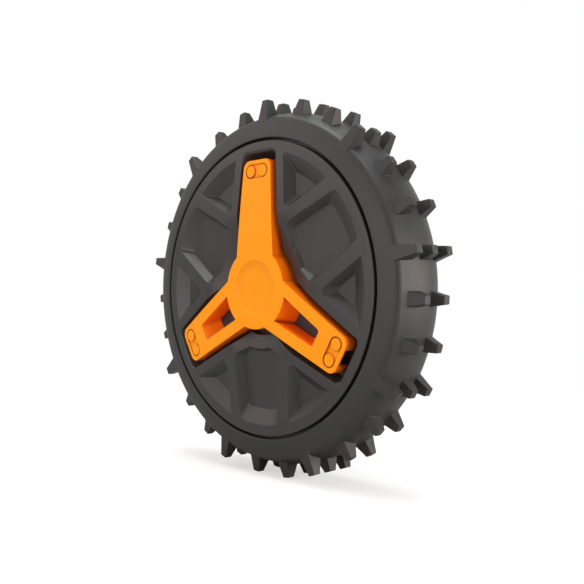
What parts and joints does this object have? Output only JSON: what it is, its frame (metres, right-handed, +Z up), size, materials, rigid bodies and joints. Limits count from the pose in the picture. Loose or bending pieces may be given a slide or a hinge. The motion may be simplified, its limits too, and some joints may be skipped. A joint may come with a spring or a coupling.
{
  "type": "robotic mower wheel",
  "caption": "Drive wheel with a studded rubber tyre on a pocketed dark rim, a clip-on orange three-armed cover and a keyed metal hub for the shaft.",
  "frame": {"origin": "on the spin axis at the middle plane of the tyre, inside the drive hub's bore", "axes": "Y along the spin axis with the outer face and its cover towards -Y, +Z up through the cover's plain arm, X across the wheel"},
  "size_m": [0.2498, 0.0498, 0.2495],
  "materials": {
    "tyre_rubber": "moulded charcoal rubber",
    "rim_plastic": "satin moulded",
    "cover_plastic": "satin moulded orange",
    "hub_metal": "machined"
  },
  "bodies": {
    "root": {"tyre": "tyre_rubber", "rim": "rim_plastic", "star_cover": "cover_plastic", "drive_hub": "hub_metal"}
  },
  "joints": []
}
